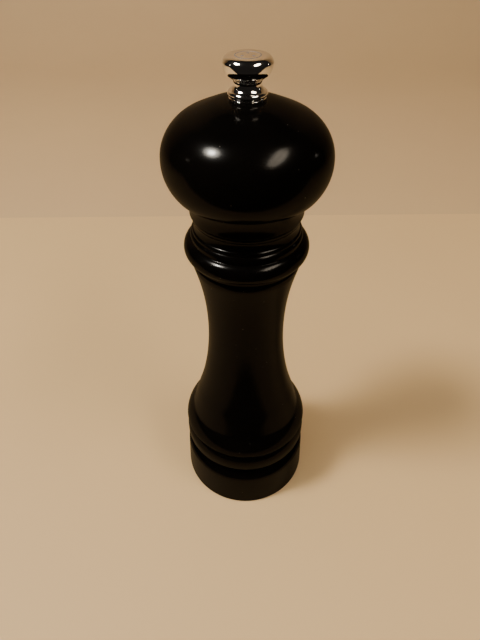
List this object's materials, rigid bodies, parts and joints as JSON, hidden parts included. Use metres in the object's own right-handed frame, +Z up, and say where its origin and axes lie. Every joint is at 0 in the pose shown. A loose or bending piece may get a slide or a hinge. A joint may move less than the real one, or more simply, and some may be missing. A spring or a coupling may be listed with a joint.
{
  "type": "pepper mill",
  "caption": "Turned pepper mill: a waisted body with a ringed foot and collar, a bulb head that turns a steel grinder through a square rod, and a metal knob that sets the grind.",
  "frame": {"origin": "centre of the face that the mill stands on", "axes": "+Z up along the turning axis, from the foot to the knob; +X along the crossbar and the drive plate's two screws"},
  "size_m": [0.054, 0.054, 0.18],
  "materials": {
    "lacquered_wood": "turned beech with black satin-gloss lacquer",
    "knob_chrome": "polished",
    "washer_chrome": "polished",
    "insert_brass": "machined",
    "rod_aluminium": "drawn",
    "plated_steel": "zinc plated",
    "spring_steel": "drawn wire",
    "grinder_steel": "case-hardened, oiled",
    "bush_brass": "turned"
  },
  "bodies": {
    "body": {"body": "lacquered_wood", "stator": "grinder_steel", "bridge": "plated_steel", "bridge_washer": "plated_steel", "crossbar": "plated_steel", "crossbar_screws": "plated_steel"},
    "bush": {"bridge_bush": "bush_brass"},
    "rod": {"shaft": "rod_aluminium", "rotor": "grinder_steel", "rotor_clip": "spring_steel", "spring": "spring_steel", "spring_washer": "plated_steel"},
    "head": {"head": "lacquered_wood", "drive_plate": "plated_steel", "drive_plate_screws": "plated_steel", "knob_washer": "washer_chrome"},
    "knob": {"knob": "knob_chrome", "knob_insert": "insert_brass"}
  },
  "joints": [
    {"name": "head_turn", "type": "hinge", "parent": "body", "child": "bush", "pos_m": [0, 0, 0.0355], "axis": [0, 0, 1], "continuous": true},
    {"name": "grind_set", "type": "slide", "parent": "bush", "child": "rod", "axis": [0, 0, 1], "range_m": [-0.0016, 0.0008], "deforming": ["spring"]},
    {"name": "head_lift", "type": "slide", "parent": "bush", "child": "head", "axis": [0, 0, 1], "range_m": [0, 0.065]},
    {"name": "knob_turn", "type": "hinge", "parent": "head", "child": "knob", "pos_m": [0, 0, 0.172], "axis": [0, 0, 1], "range_deg": [-360, 720]}
  ],
  "couplings": [
    {"joint": "knob_turn", "follows": "grind_set", "rad_per_m": -7854}
  ]
}
